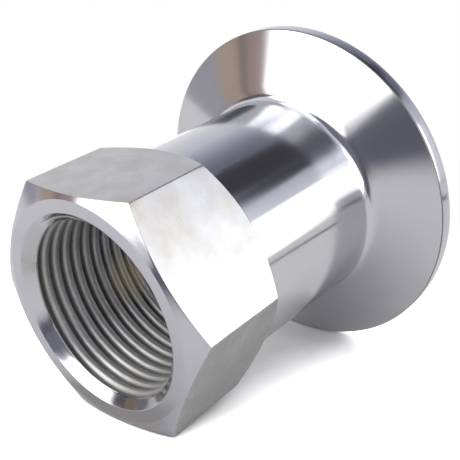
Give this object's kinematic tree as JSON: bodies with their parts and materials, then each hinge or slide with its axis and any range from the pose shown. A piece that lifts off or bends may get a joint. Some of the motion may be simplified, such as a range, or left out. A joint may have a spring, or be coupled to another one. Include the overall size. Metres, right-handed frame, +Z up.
{
  "type": "sanitary clamp threaded adapter",
  "caption": "One-piece stainless adapter from a hexagonal female pipe-thread end, along a plain neck, to a sanitary clamp flange.",
  "frame": {"origin": "centre of the footprint of the adapter as it lies on the floor", "axes": "+Z up; +X is level and runs from the threaded mouth to the flange, below the part's own axis, which rises by about 12 degrees towards the flange because the rim is wider than the hexagon; +Y to the side"},
  "size_m": [0.053, 0.0504, 0.0498],
  "materials": {
    "turned_stainless": "turned and lightly polished stainless steel, with milled hexagon flats"
  },
  "bodies": {
    "root": {"adapter_body": "turned_stainless"}
  },
  "joints": []
}
